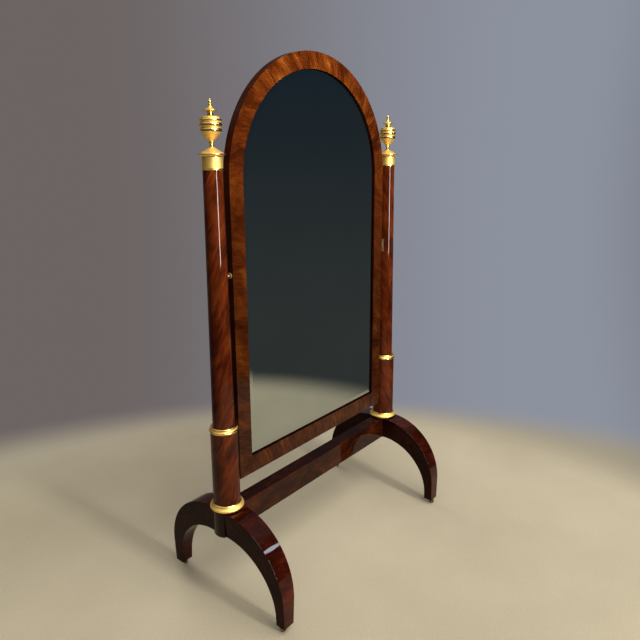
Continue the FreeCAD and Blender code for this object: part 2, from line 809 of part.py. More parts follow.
plate_screws = []
for column in (-1, 1):
    for level in (-PLATE_SCREW_SHARE, PLATE_SCREW_SHARE):
        point = ((column_x - plate_face) * column, 0, pivot_height + d["plate_height"] * level)
        turn = Rotation(Vector(0, 1, 0), 90 * column)
        plate_screws.append(screw(f"plate_screw_{len(plate_screws)}", point, turn))
keep(group("pivot_plate_screws", plate_screws))


# ---------------------------------------------------------------- swing frame
lip_x = sight + d["glass_lip"]
step_x = lip_x + d["board_step"]


def frame_section(inner, outer):
    """Section of the frame seen from above: a front lip, the glass rebate and the board rebate."""
    setback = d["glass_setback"]
    lip, step = inner + d["glass_lip"], inner + d["glass_lip"] + d["board_step"]
    return [(inner, 0), (outer, 0), (outer, d["frame_thickness"]), (step, d["frame_thickness"]),
            (step, board_depth), (lip, board_depth), (lip, setback), (inner, setback)]


def frame_tenon(label, grow, overshoot):
    """Stub tenon between stile and head; the mortise is longer and open at its foot."""
    middle = (sight + frame_half_width) / 2 + d["glass_lip"] / 2
    half_width = d["frame_tenon_width"] / 2
    half_depth = d["frame_tenon_thickness"] / 2
    return box(label, (middle - half_width, -half_depth, springing - overshoot),
               (middle + half_width, half_depth, springing + d["frame_tenon_length"] + grow))


def is_outer_stile_edge(edge):
    return edge.Length > LONG_EDGE and edge.BoundBox.XMin > frame_half_width.value - 1


stile = new_body("stile_wood")
stile_section = sketch_on(stile, "XY_Plane", "stile_section")
outline(stile_section, frame_section(sight, frame_half_width))
pad(stile, stile_section, springing - frame_bottom)
rounded(stile, d["frame_edge_round"], is_outer_stile_edge)
place(stile, 0, -half_thickness, frame_bottom)
pin_hole_start = (frame_half_width - d["pin_in_stile"], 0, pivot_height)
pin_hole = cylinder("stile_pin_hole", d["pin_diameter"] / 2, d["pin_in_stile"] + BEYOND,
                    pin_hole_start, "x")
stile_with_tenon = fuse("stile_with_tenon", [stile, frame_tenon("stile_tenon", 0, BEYOND)])
stile_right = keep(cut("stile_right", stile_with_tenon, [pin_hole]))
keep(mirrored("stile_left", stile_right))

rail_layers = [
    (sight, d["rail_width"], 0, d["glass_setback"]),
    (lip_x, d["rail_width"] - d["glass_lip"], d["glass_setback"], board_depth),
    (step_x, d["rail_width"] - d["glass_lip"] - d["board_step"], board_depth, d["frame_thickness"]),
]
rail_parts = []
for half_width, height, near, far in rail_layers:
    rail_parts.append(box(f"rail_layer_{len(rail_parts)}",
                          (-half_width, near - half_thickness, frame_bottom),
                          (half_width, far - half_thickness, frame_bottom + height)))
keep(fuse("bottom_rail", rail_parts))

head = new_body("head_wood")
head_section = sketch_on(head, "XY_Plane", "head_section")
outline(head_section, frame_section(sight, frame_half_width))
sweep = head.newObject("PartDesign::Revolution", "head_sweep")
sweep.Profile = head_section
sweep.ReferenceAxis = (head_section, ["V_Axis"])
sweep.Angle = 180
sweep.Reversed = True
place(head, 0, -half_thickness, springing)
head_mortise = frame_tenon("head_mortise_right", d["joint_gap"], BEYOND)
keep(cut("arched_head", head, [head_mortise, mirrored("head_mortise_left", head_mortise)]))


def arched_sheet(label, half_width, foot, thickness, front):
    """A flat sheet with a round head, upright, from its front plane backwards."""
    body = new_body(label)
    sketch = sketch_on(body, "XZ_Plane", label + "_outline", -front)
    bulge = -half_width * QUARTER_BULGE
    outline(sketch, [(-half_width, foot), (half_width, foot), (half_width, springing, bulge),
                     (0, springing + half_width, bulge), (-half_width, springing)])
    feature = pad(body, sketch, thickness)
    feature.Reversed = True
    return body


glass_front = d["glass_setback"] - half_thickness
glass_half = lip_x - d["glass_clearance"]
glass_foot = frame_bottom + d["rail_width"] - d["glass_lip"] + d["glass_clearance"]
glass = arched_sheet("mirror_glass", glass_half, glass_foot, d["glass_thickness"], glass_front)
front_y = glass_front.value


def is_front_edge(edge):
    return max(abs(edge.BoundBox.YMax - front_y), abs(edge.BoundBox.YMin - front_y)) < 1e-4


bevel = chamfered(glass, d["bevel_depth"], is_front_edge)
bevel.ChamferType = "Two distances"
bind(bevel, "Size2", d["bevel_width"])
keep(glass)

board_front = board_depth - half_thickness
board_half = step_x - d["glass_clearance"]
board_foot = frame_bottom + d["rail_width"] - d["glass_lip"] - d["board_step"] + d["glass_clearance"]
keep(arched_sheet("backboard", board_half, board_foot, d["board_thickness"], board_front))

# softwood fillets that hold the glass in its rebate
fillet_front = glass_front + d["glass_thickness"]
fillet_back = board_front
fillet_inner = lip_x - d["fillet_width"]
fillet_foot = frame_bottom + d["rail_width"] - d["glass_lip"]
fillet_side = box("fillet_side", (fillet_inner, fillet_front, fillet_foot),
                  (lip_x, fillet_back, springing))
fillet_low = box("fillet_low", (-fillet_inner, fillet_front, fillet_foot),
                 (fillet_inner, fillet_back, fillet_foot + d["fillet_width"]))
fillet_head = new_body("fillet_head")
fillet_section = sketch_on(fillet_head, "XY_Plane", "fillet_section")
outline(fillet_section, [(fillet_inner, 0), (lip_x, 0), (lip_x, fillet_back - fillet_front),
                         (fillet_inner, fillet_back - fillet_front)])
fillet_sweep = fillet_head.newObject("PartDesign::Revolution", "fillet_sweep")
fillet_sweep.Profile = fillet_section
fillet_sweep.ReferenceAxis = (fillet_section, ["V_Axis"])
fillet_sweep.Angle = 180
fillet_sweep.Reversed = True
place(fillet_head, 0, fillet_front, springing)
fillet_pair = [fillet_side, mirrored("fillet_side_left", fillet_side)]
keep(group("glass_fillets", fillet_pair + [fillet_low, fillet_head]))

# screws that hold the backboard in the frame
BACK_SCREW_TURN = Rotation(Vector(1, 0, 0), 90)
board_screws = []
screw_line = board_half - d["board_screw_inset"]


def board_screw(x, z):
    label = f"board_screw_{len(board_screws)}"
    board_screws.append(screw(label, (x, half_thickness, z), BACK_SCREW_TURN))


for share in (0.1, 0.5, 0.9):
    level = board_foot + (springing - board_foot) * share
    board_screw(-screw_line, level)
    board_screw(screw_line, level)
for way in (-0.5, 0.5):
    board_screw(screw_line * way, board_foot + d["board_screw_inset"])
for angle in (30, 60, 90, 120, 150):
    turn_x, turn_z = math.cos(math.radians(angle)), math.sin(math.radians(angle))
    board_screw(screw_line * turn_x, springing + screw_line * turn_z)
keep(group("backboard_screws", board_screws))

# ---------------------------------------------------------------- casters
HEADINGS = {"front_left": 150, "front_right": -50, "back_left": 20, "back_right": 205}
caster_screws = []
wheel_radius = d["wheel_diameter"] / 2
crown_bottom = d["wheel_diameter"] + d["crown_gap"]
crown_top = crown_bottom + d["crown_thickness"]
fork_half = d["wheel_width"] / 2 + d["wheel_side_gap"] + d["cheek_thickness"]


def make_fork(label):
    """Swivel fork: a round crown with a headed stem above it and two cheeks below it."""
    stem = d["stem_diameter"] / 2
    head_low = caster_height + d["swivel_gap"]
    head_high = head_low + d["stem_head_thickness"]
    crown, stem_head = d["crown_diameter"] / 2, d["stem_head_diameter"] / 2
    body = turned(label, [
        (0, crown_bottom), (crown, crown_bottom), (crown, crown_top), (stem, crown_top),
        (stem, head_low), (stem_head, head_low), (stem_head, head_high), (0, head_high),
    ])
    half = d["cheek_width"] / 2
    near, far = d["caster_trail"] - half, d["caster_trail"] + half
    cheek = sketch_on(body, "XZ_Plane", label + "_cheek")
    bulge = -half * QUARTER_BULGE
    cheek_top = crown_bottom + d["crown_thickness"] / 2
    outline(cheek, [(far, wheel_radius), (far, cheek_top), (near, cheek_top),
                    (near, wheel_radius, bulge), (d["caster_trail"], wheel_radius - half, bulge)])
    pad(body, cheek, fork_half * 2, both_ways=True)
    slot = sketch_on(body, "XZ_Plane", label + "_slot")
    slot_end = far + BEYOND
    outline(slot, [(0, 0), (slot_end, 0), (slot_end, crown_bottom), (0, crown_bottom)])
    pocket(body, slot, d["wheel_width"] + d["wheel_side_gap"] * 2, both_ways=True)
    hole = circle(sketch_on(body, "XZ_Plane", label + "_hole"), (d["caster_trail"], wheel_radius),
                  d["axle_diameter"] / 2)
    pocket(body, hole, fork_half * 2 + BEYOND, both_ways=True)
    return body


def make_wheel(label):
    body = new_body(label)
    rim = sketch_on(body, "XZ_Plane", label + "_rim")
    circle(rim, (d["caster_trail"], wheel_radius), wheel_radius)
    circle(rim, (d["caster_trail"], wheel_radius), d["axle_diameter"] / 2 + d["pin_clearance"])
    pad(body, rim, d["wheel_width"], both_ways=True)
    chamfered(body, d["wheel_chamfer"], is_wheel_rim)
    return body


def is_wheel_rim(edge):
    return edge.BoundBox.ZLength > wheel_radius.value and edge.Curve.TypeId == "Part::GeomCircle"


def make_caster_plate(label, x, y):
    """Plate screwed under a foot, with the hole in which the stem turns."""
    half_x = d["foot_width"] / 2 - d["caster_plate_margin"]
    half_y = d["foot_depth"] / 2 - d["caster_plate_margin"]
    low = caster_height - d["caster_plate_thickness"]
    inset = d["screw_head_diameter"] / 2 + 0.4
    slab = box(label + "_slab", (x - half_x, y - half_y, low), (x + half_x, y + half_y, caster_height))
    hole_radius = d["stem_diameter"] / 2 + d["pin_clearance"]
    hole = cylinder(label + "_hole", hole_radius,
                    d["caster_plate_thickness"] + BEYOND * 2, (x, y, low - BEYOND))
    for way_x in (-1, 1):
        for way_y in (-1, 1):
            name = f"caster_screw_{len(caster_screws)}"
            at = (x + (half_x - inset) * way_x, y + (half_y - inset) * way_y, low)
            caster_screws.append(screw(name, at))
    return cut(label, slab, [hole])


for corner, heading in HEADINGS.items():
    foot_x = column_x if corner.endswith("right") else -column_x
    foot_y = foot_centre if corner.startswith("back") else -foot_centre
    turn = Rotation(Vector(0, 0, 1), heading)
    keep(make_caster_plate(f"caster_plate_{corner}", foot_x, foot_y))
    keep(place(make_fork(f"caster_fork_{corner}"), foot_x, foot_y, 0, turn))
    keep(place(make_wheel(f"caster_wheel_{corner}"), foot_x, foot_y, 0, turn))
    axle = new_body(f"caster_axle_{corner}")
    axle_section = sketch_on(axle, "XZ_Plane", f"axle_{corner}_section")
    circle(axle_section, (d["caster_trail"], wheel_radius), d["axle_diameter"] / 2)
    pad(axle, axle_section, fork_half * 2, both_ways=True)
    keep(place(axle, foot_x, foot_y, 0, turn))
keep(group("caster_screws", caster_screws))

# ---------------------------------------------------------------- check and export
doc.recompute()
for item in doc.Objects:
    troubles = [state for state in item.State if state in ("Invalid", "Error")]
    if troubles:
        raise RuntimeError(f"{item.Label}: {troubles}")
for label, item in NODES.items():
    shape = item.Shape
    if shape.isNull() or not shape.isValid() or not shape.Solids:
        raise RuntimeError(f"{label}: bad shape")
    shape.exportStep(f"parts/{label}.step")
    print(f"{label}: {len(shape.Solids)} solids, {shape.Volume / 1000:.1f} cm3")
print(len(NODES), "nodes")
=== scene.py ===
# %% [markdown]
# # A cheval floor mirror
# The real object is a swing mirror of the French Empire: an arched frame veneered with flame
# mahogany, hung between two turned columns, with gilt bronze rings, capitals and urn finials.
# The solid model already gives every size. This lesson adds what a solid model lacks: polished
# veneer with its figure, chased and burnished gilding, old silvered glass, and a workshop's back.

# %% Load the solid model
import json
import math

import bmesh
import bpy
from mathutils import Matrix, Vector

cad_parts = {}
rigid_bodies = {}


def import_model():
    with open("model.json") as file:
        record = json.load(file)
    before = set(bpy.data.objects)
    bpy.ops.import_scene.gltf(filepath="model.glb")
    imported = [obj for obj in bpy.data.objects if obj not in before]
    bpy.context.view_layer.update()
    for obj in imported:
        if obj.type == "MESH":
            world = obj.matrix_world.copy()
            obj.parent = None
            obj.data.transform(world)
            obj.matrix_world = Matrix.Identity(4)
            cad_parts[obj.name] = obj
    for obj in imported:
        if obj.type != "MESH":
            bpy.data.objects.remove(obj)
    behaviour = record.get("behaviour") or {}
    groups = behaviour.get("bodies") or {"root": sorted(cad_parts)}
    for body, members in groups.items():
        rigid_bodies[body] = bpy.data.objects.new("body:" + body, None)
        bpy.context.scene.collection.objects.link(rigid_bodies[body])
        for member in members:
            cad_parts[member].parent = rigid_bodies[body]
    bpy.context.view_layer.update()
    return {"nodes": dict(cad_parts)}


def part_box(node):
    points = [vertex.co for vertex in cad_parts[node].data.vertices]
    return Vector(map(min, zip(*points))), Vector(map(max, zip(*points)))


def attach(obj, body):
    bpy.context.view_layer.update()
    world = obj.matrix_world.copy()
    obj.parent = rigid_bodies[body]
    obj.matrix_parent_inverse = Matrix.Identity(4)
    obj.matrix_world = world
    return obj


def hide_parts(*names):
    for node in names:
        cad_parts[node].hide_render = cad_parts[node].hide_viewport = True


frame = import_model()
nodes = frame["nodes"]
SIDES = ("left", "right")
MM = 0.001

# %% [markdown]
# ## Sums on sockets
# A material is a graph, but its arithmetic reads best as arithmetic. The class below wraps one
# output socket, so that `streak * 0.4 + plume` adds the Math nodes by itself. Every other node
# comes from the one method `node`, which takes the node's kind, its settings and its inputs.


# %% A wire and a finish
class Wire:
    """An output socket that takes part in Python sums."""

    def __init__(self, finish, socket):
        self.finish, self.socket = finish, socket

    def sum(self, operation, *values):
        return self.finish.node("Math", {"operation": operation}, dict(enumerate(values)))

    def __add__(self, other):
        return self.sum("ADD", self, other)

    def __sub__(self, other):
        return self.sum("SUBTRACT", self, other)

    def __rsub__(self, other):
        return self.sum("SUBTRACT", other, self)

    def __mul__(self, other):
        return self.sum("MULTIPLY", self, other)

    def __truediv__(self, other):
        return self.sum("DIVIDE", self, other)

    def __abs__(self):
        return self.sum("ABSOLUTE", self)

    __radd__ = __add__
    __rmul__ = __mul__

    def floor(self):
        return self.sum("FLOOR", self)

    def between(self, low, high, low_value=0.0, high_value=1.0):
        """A soft step from one value to another as the wire goes from low to high."""
        return self.finish.node("MapRange", {"interpolation_type": "SMOOTHSTEP"},
                                {0: self, 1: low, 2: high, 3: low_value, 4: high_value})


class Finish:
    """A material, with one method that adds any node to it."""

    def __init__(self, name):
        self.material = bpy.data.materials.new(name)
        self.material.use_nodes = True
        self.tree = self.material.node_tree
        self.shader = self.tree.nodes["Principled BSDF"]
        self.place = self.node("TexCoord", output="Object")

    def node(self, kind, settings=None, inputs=None, output=0):
        """Add a node: its settings are set first, then its inputs are set or linked."""
        item = self.tree.nodes.new("ShaderNode" + kind)
        for name, value in (settings or {}).items():
            if name == "stops":
                while len(item.color_ramp.elements) < len(value):
                    item.color_ramp.elements.new(0.5)
                for stop, (position, colour) in zip(item.color_ramp.elements, value):
                    stop.position, stop.color = position, (*colour, 1)
            else:
                setattr(item, name, value)
        for name, value in (inputs or {}).items():
            if isinstance(value, Wire):
                self.tree.links.new(value.socket, item.inputs[name])
            else:
                item.inputs[name].default_value = value
        return Wire(self, item.outputs[output])

    def axes(self):
        """The three object coordinates as separate wires."""
        split = self.node("SeparateXYZ", inputs={0: self.place})
        return [Wire(self, split.socket.node.outputs[axis]) for axis in "XYZ"]

    def vector(self, x, y, z):
        return self.node("CombineXYZ", inputs={0: x, 1: y, 2: z})

    def length(self, x, y, z):
        """The length of the vector with these three parts."""
        return self.node("VectorMath", {"operation": "LENGTH"}, {0: self.vector(x, y, z)},
                         output="Value")

    def angle(self, rise, run):
        """The angle in radians whose tangent is rise over run."""
        return self.node("Math", {"operation": "ARCTAN2"}, {0: rise, 1: run})

    def facing(self, axis):
        """How squarely the surface looks along one of the room's axes, from 0 to 1."""
        normal = self.node("NewGeometry", output="Normal")
        return abs(self.node("SeparateXYZ", inputs={0: normal}, output=axis))

    def noise(self, vector, scale=1.0, detail=2.0, roughness=0.5, distortion=0.0):
        sizes = {"Vector": vector, "Scale": scale, "Detail": detail,
                 "Roughness": roughness, "Distortion": distortion}
        return self.node("TexNoise", inputs=sizes)

    def mix(self, share, first, second, way="MIX"):
        settings = {"data_type": "RGBA", "blend_type": way}
        return self.node("Mix", settings, {0: share, 6: first, 7: second}, output=2)

    def ramp(self, value, stops):
        return self.node("ValToRGB", {"stops": stops}, {0: value})

    def bump(self, height, depth, strength=1.0):
        """A normal from a height of 0 to 1 that stands for a depth in metres."""
        return self.node("Bump", None, {"Height": height, "Distance": depth, "Strength": strength})

    def set(self, **sockets):
        """Set or link the shader's sockets, whose names are written with low lines."""
        for name, value in sockets.items():
            socket = self.shader.inputs[name.replace("_", " ").title().replace("Ior", "IOR")]
            if isinstance(value, Wire):
                self.tree.links.new(value.socket, socket)
            else:
                socket.default_value = value
        return self.material


# %% [markdown]
# ## Mahogany veneer
# Cuban mahogany shows three scales at once: broad flames of light and dark a hand wide, silky
# streaks along the fibres, and short dark pores. The veneer is laid in sheets, so each sheet has
# its own tone, and a hair-thin joint shows where two sheets meet. One function builds this from
# two wires: `along`, the way the sheets follow each other, and `across`, the way the fibres run.
# French polish over it is a coat on the shader, with a slow wave, because it is rubbed by hand.


# %% The veneer function
SEAM_WIDTH = 0.0006
SEAM_AND_PORE = (0.010, 0.003, 0.0015, 1)


def veneer(finish, along, across, tones, sheet, slant=0.25, shift=0.0, third=0.0, flame=1.0):
    """Colour, height and silk streak of veneer laid in sheets of the given length."""
    laid = along / sheet + shift
    count = laid.floor()
    own = finish.node("TexWhiteNoise", {"noise_dimensions": "1D"}, {"W": count + shift})
    sway = finish.noise(finish.vector(along * 9, across * 7 + own * 5, third), 1, 3, 0.6) * 0.05
    run = along + across * slant + own * 0.7 + sway
    broad = finish.noise(finish.vector(run * 15, across * 9 + own * 9, third), 1, 4, 0.62, 0.7)
    silk = finish.noise(finish.vector(run * 130, across * 20, third), 1, 4, 0.62, 0.4)
    fibre = finish.noise(finish.vector(run * 620, across * 38, third), 1, 2, 0.5)
    pore = finish.noise(finish.vector(run * 1500, across * 120, third), 1, 1, 0.4)
    pores = pore.between(0.60, 0.72)
    light = ((broad - 0.5) * (1.25 * flame) + (silk - 0.5) * 0.62 + (fibre - 0.5) * 0.2
             + own * 0.12 + 0.38)
    colour = finish.ramp(light, tones)
    seam = abs(laid - count - 0.5).between(0.5 - SEAM_WIDTH / sheet, 0.5)
    colour = finish.mix(pores * 0.5 + seam * 0.55, colour, SEAM_AND_PORE)
    height = fibre * 0.25 - pores * 0.5 - seam
    return colour, height, silk


def polish(finish, colour, height, silk, depth=0.00004, coat=0.75):
    """French polish over a veneer: a clear coat with a slow hand-rubbed wave."""
    wave = finish.noise(finish.place, 16, 2, 0.5)
    rub = finish.noise(finish.place, 70, 3, 0.6)
    wavy = finish.bump(wave, 0.0012, 0.35)
    normal = finish.node("Bump", None, {"Height": height, "Distance": depth, "Strength": 0.5,
                                        "Normal": wavy})
    dullness = 0.34 + silk * 0.14 + rub * 0.08
    return finish.set(base_color=colour, roughness=dullness, coat_weight=coat,
                      coat_roughness=0.045, normal=normal, specular_ior_level=0.0,
                      coat_ior=1.30)


FRAME_TONES = [
    (0.08, (0.014, 0.0023, 0.0004)), (0.34, (0.044, 0.0078, 0.0009)),
    (0.60, (0.104, 0.0225, 0.0026)), (0.90, (0.225, 0.074, 0.012)),
]
COLUMN_TONES = [
    (0.08, (0.009, 0.0013, 0.0003)), (0.38, (0.030, 0.0041, 0.0008)),
    (0.64, (0.075, 0.0130, 0.0022)), (0.92, (0.160, 0.0400, 0.0070)),
]
BASE_TONES = [
    (0.10, (0.004, 0.0007, 0.0003)), (0.42, (0.011, 0.0018, 0.0006)),
    (0.68, (0.028, 0.0047, 0.0013)), (0.92, (0.062, 0.0130, 0.0034)),
]

# %% [markdown]
# ## The frame's cross-banding
# The frame is cross-banded: the fibres run across its width, so on the round head they fan out
# like the spokes of a wheel. For the head the two wires are therefore an arc length and a radius.
# For the stiles they are the height and the width, and for the bottom rail the other way round.
# The outer edges are painted darker: painted shade for the shadow that falls on the frame's sides.
# That mask reads the way a surface looks in the room, so it is right while the frame is upright
# or upside down, and swaps face and edge when it lies level.

# %% Frame finishes
head_low, head_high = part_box("arched_head")
spring = Vector((0, 0, head_low.z))
head_radius = head_high.x
FRAME_SHEET = 0.165
# The colour of the painted shade on the frame's outer edges.
FRAME_EDGE_SHADE = (0.014, 0.0028, 0.0010, 1)


def dress(name, material):
    """Give a node of the solid model its finish."""
    nodes[name].data.materials.clear()
    nodes[name].data.materials.append(material)


def frame_finish(name, kind, shift):
    """Cross-banded veneer for the head, a stile or the rail."""
    finish = Finish(name)
    x, y, z = finish.axes()
    if kind == "head":
        rise = z - spring.z
        along, across = finish.angle(x, rise) * head_radius, finish.length(x, 0.0, rise)
    elif kind == "rail":
        along, across = x, z
    else:
        along, across = z, x
    colour, height, silk = veneer(finish, along, across + y * 0.6, FRAME_TONES, FRAME_SHEET,
                                  slant=0.34, shift=shift, third=y * 9)
    # Painted shade: faces that do not look to the front or back are mixed towards the dark edge
    # colour.
    edge = finish.facing("Y").between(0.35, 0.8, 0.88, 0.0)
    colour = finish.mix(edge, colour, FRAME_EDGE_SHADE)
    return polish(finish, colour, height, silk, coat=0.8 - edge * 0.45)


dress("arched_head", frame_finish("veneer_head", "head", 0.5))
dress("stile_left", frame_finish("veneer_stile_left", "stile", 0.31))
dress("stile_right", frame_finish("veneer_stile_right", "stile", 4.31))
dress("bottom_rail", frame_finish("veneer_rail", "rail", 0.5))
print("frame dressed, head radius", round(head_radius, 4))

# %% [markdown]
# ## Columns
# On a column the sheet is wrapped round the wood, with its flames rising round it like a stripe
# on a pole. The wires are the angle times the radius and the height. The one upright joint of
# the sheet is turned to the inner side, where a cabinetmaker would hide it.


# %% Column finish
COLUMN_CENTRE = 0.45
COLUMN_RADII = {"column_drum": 0.0433, "column_shaft": 0.032}
COLUMN_SHEET = 0.26


def column_finish(name, centre, radius, inward, shift):
    """Veneer wrapped round a column, with its joint on the inner side."""
    finish = Finish(name)
    x, y, z = finish.axes()
    around = finish.angle(y, (x - centre) * inward) * radius
    turn = (x - centre) / radius
    colour, height, silk = veneer(finish, around + 0.11, z + around * 0.45, COLUMN_TONES,
                                  COLUMN_SHEET, slant=0.55, shift=shift, third=turn * 0.4)
    return polish(finish, colour, height, silk, coat=0.8)


for side, inward in zip(SIDES, (-1, 1)):
    centre = COLUMN_CENTRE * inward
    for part, radius in COLUMN_RADII.items():
        name = f"{part}_{side}"
        shift = 0.1 + radius * 40 + centre
        dress(name, column_finish(f"veneer_{name}", centre, radius, inward, shift))
print("columns dressed", len(SIDES) * len(COLUMN_RADII))

# %% [markdown]
# ## Legs, hubs and stretcher
# The stand is darker than the frame. Its flat sides carry long-grained veneer, and the curved
# edges of the legs are covered with short cross-banded sheets, so a seam crosses the leg every
# hand's width. The mask between the two is how far the surface faces sideways. The curved edges,
# which face up, are also painted lighter and redder: painted light. The stretcher's front and
# back are painted paler the same way.


# %% Leg finish
LEG_ARC = 0.225
LEG_REACH, LEG_TOP = 0.262, 0.330
ARC_Y, ARC_Z = LEG_REACH - LEG_ARC, LEG_TOP - LEG_ARC
LONG_SHEET, LEG_EDGE_SHEET = 3.0, 0.092


def leg_finish(name, way):
    """Long grain on a leg's flat sides and cross-banding on its curved edges, painted lighter."""
    finish = Finish(name)
    x, y, z = finish.axes()
    out, up = y * way - ARC_Y, z - ARC_Z
    arc = finish.angle(up, out) * LEG_ARC
    bent = finish.length(out, 0.0, up)
    side_colour, side_height, side_silk = veneer(finish, bent, arc * 0.8 + x, BASE_TONES,
                                                 LONG_SHEET, slant=0.10, shift=0.4, flame=0.8)
    edge_colour, edge_height, edge_silk = veneer(finish, arc, x, BASE_TONES, LEG_EDGE_SHEET,
                                                 slant=0.22, shift=0.62 + way * 0.1, third=z * 5)
    edge = finish.facing("X").between(0.35, 0.65, 1.0, 0.0)
    # Painted light: the curved edges, which face up, are made lighter and redder than their
    # veneer.
    painted_lighter = finish.mix(1.0, edge_colour, (1.75, 1.25, 1.15, 1), "MULTIPLY")
    colour = finish.mix(edge, side_colour, painted_lighter)
    height = side_height * (1 - edge) + edge_height * edge
    silk = side_silk * (1 - edge) + edge_silk * edge
    return polish(finish, colour, height, silk, coat=edge * 0.5 + 0.35)


for end, way in (("front", -1), ("back", 1)):
    leg_veneer = leg_finish(f"veneer_leg_{end}", way)
    for side in SIDES:
        dress(f"leg_{end}_{side}", leg_veneer)
print("legs dressed, arc centre", round(ARC_Y, 3), round(ARC_Z, 3))


# %% Hub and stretcher finishes
STRETCHER_SHEET = 4.0


def hub_finish(name):
    """Plain dark veneer with its grain lying level."""
    finish = Finish(name)
    x, y, z = finish.axes()
    colour, height, silk = veneer(finish, x + y * 0.7, z, BASE_TONES, LONG_SHEET, slant=0.2,
                                  shift=0.3, third=y * 8)
    return polish(finish, colour, height, silk, coat=0.85)


def stretcher_finish(name):
    """Veneer that runs the length of the stretcher, with painted light making its front and back
    paler.
    """
    finish = Finish(name)
    x, y, z = finish.axes()
    colour, height, silk = veneer(finish, z + y * 0.8 + 0.5, x, BASE_TONES, STRETCHER_SHEET,
                                  slant=0.05, shift=0.1, third=y * 3)
    # Painted light: the front and back faces are made much paler than the top and bottom.
    painted_lighter = finish.mix(1.0, colour, (3.6, 3.9, 3.2, 1), "MULTIPLY")
    front = finish.facing("Y").between(0.4, 0.7)
    colour = finish.mix(front, colour, painted_lighter)
    return polish(finish, colour, height, silk, coat=front * 0.4 + 0.4)


hub_veneer = hub_finish("veneer_hub")
for side in SIDES:
    dress(f"hub_{side}", hub_veneer)
dress("stretcher", stretcher_finish("veneer_stretcher"))
print("hubs and stretcher dressed")

# %% [markdown]
# ## Metals
# The mounts are cast bronze, gilded with mercury. The caster leaves the flat parts matt, which is
# thousands of tiny dimples, and rubs the beads bright with an agate. So there are two gildings:
# one rough with a fine grain, one smooth. Both darken a little in patches, as old gilding does.


# %% Gilding, brass, iron and leather
def gilding(name, matt):
    """Gilt bronze, either matt and finely grained or burnished smooth."""
    finish = Finish(name)
    cloud = finish.noise(finish.place, 26, 3, 0.6)
    speck = finish.noise(finish.place, 900, 2, 0.6)
    grain = finish.noise(finish.place, 2600, 2, 0.7)
    bright = (1.0, 0.69, 0.20, 1) if matt else (1.0, 0.71, 0.23, 1)
    worn = finish.mix(cloud.between(0.45, 0.75) * 0.5, bright, (0.82, 0.50, 0.13, 1))
    colour = finish.mix(speck.between(0.62, 0.76) * 0.35, worn, (0.42, 0.22, 0.05, 1))
    dullness = cloud * 0.10 + ((grain * 0.14 + 0.46) if matt else (speck * 0.06 + 0.10))
    relief = finish.bump(grain, 0.0002, 0.55) if matt else finish.bump(cloud, 0.0004, 0.25)
    return finish.set(base_color=colour, roughness=dullness, metallic=1.0, normal=relief)


def metal(name, clean, dirty, dullness, share):
    """A bare metal, clean in part and dirty in a share of its patches."""
    finish = Finish(name)
    cloud = finish.noise(finish.place, 160, 4, 0.6)
    scratch = finish.noise(finish.vector(*[axis * 900 for axis in finish.axes()]), 1, 2, 0.5)
    patch = cloud.between(0.42, 0.66)
    colour = finish.mix(patch * share, clean, dirty)
    rough = dullness + patch * 0.22 + scratch * 0.08
    return finish.set(base_color=colour, roughness=rough, metallic=0.95,
                      normal=finish.bump(scratch, 0.0001, 0.4))


def hide(name):
    """Greased leather with a fine pebbled grain."""
    finish = Finish(name)
    pebble = finish.noise(finish.place, 700, 3, 0.7)
    colour = finish.ramp(pebble, [(0.3, (0.05, 0.022, 0.010)), (0.7, (0.13, 0.062, 0.028))])
    return finish.set(base_color=colour, roughness=pebble * 0.3 + 0.42,
                      normal=finish.bump(pebble, 0.0003, 0.7))


GILT_MATT = gilding("gilding_matt", True)
GILT_BRIGHT = gilding("gilding_burnished", False)
OLD_BRASS = metal("old_brass", (0.95, 0.74, 0.38, 1), (0.50, 0.33, 0.14, 1), 0.24, 0.55)
DARK_BRASS = metal("dark_brass", (0.20, 0.14, 0.07, 1), (0.030, 0.020, 0.013, 1), 0.38, 0.9)
IRON = metal("old_iron", (0.22, 0.20, 0.19, 1), (0.07, 0.035, 0.022, 1), 0.42, 0.8)
LEATHER = hide("greased_leather")

FITTINGS = (
    (OLD_BRASS, ("pivot_plate", "pivot_pin")),
    (DARK_BRASS, ("caster_fork", "caster_plate", "caster_wheel")),
    (IRON, ("caster_axle", "caster_screws", "column_tie", "tie_rod", "finial_rods")),
    (LEATHER, ("friction_washer",)),
)
for material, beginnings in FITTINGS:
    fitted = [name for name in nodes if name.startswith(beginnings)]
    for name in fitted:
        dress(name, material)
    print(material.name, len(fitted), "nodes")

# %% [markdown]
# ## Softwood
# The back is what a cabinetmaker used where nobody looks: sawn softwood, browned by age, with
# upright grain, a few knots and patches of stain. It is not polished, so it has no coat.


# %% Softwood finish
def softwood_finish(name, shift):
    """Sawn softwood; the shift gives each board its own grain and tone."""
    finish = Finish(name)
    x, y, z = finish.axes()
    knot = finish.noise(finish.vector(x * 7 + shift, y, z * 2.2), 1, 2, 0.5)
    bend = finish.noise(finish.vector(x * 3, y, z * 0.9 + shift), 1, 2, 0.5) * 0.10
    swerve = (x + bend + knot * 0.05) * 75 + shift
    ring = finish.noise(finish.vector(swerve, y * 30, z * 1.6), 1, 3, 0.6)
    hair = finish.noise(finish.vector(x * 900, y * 300, z * 18), 1, 2, 0.6)
    stain = finish.noise(finish.vector(x * 5, y * 5, z * 3 + shift), 1, 3, 0.6)
    tone = math.sin(shift * 2.3) * 0.05
    light = ring * 0.42 + hair * 0.16 + stain * 0.42 + tone
    colour = finish.ramp(light, [(0.30, (0.070, 0.034, 0.014)), (0.52, (0.165, 0.088, 0.036)),
                                 (0.76, (0.29, 0.175, 0.080))])
    return finish.set(base_color=colour, roughness=hair * 0.15 + 0.62,
                      normal=finish.bump(ring * 0.6 + hair * 0.4, 0.0004, 0.5))


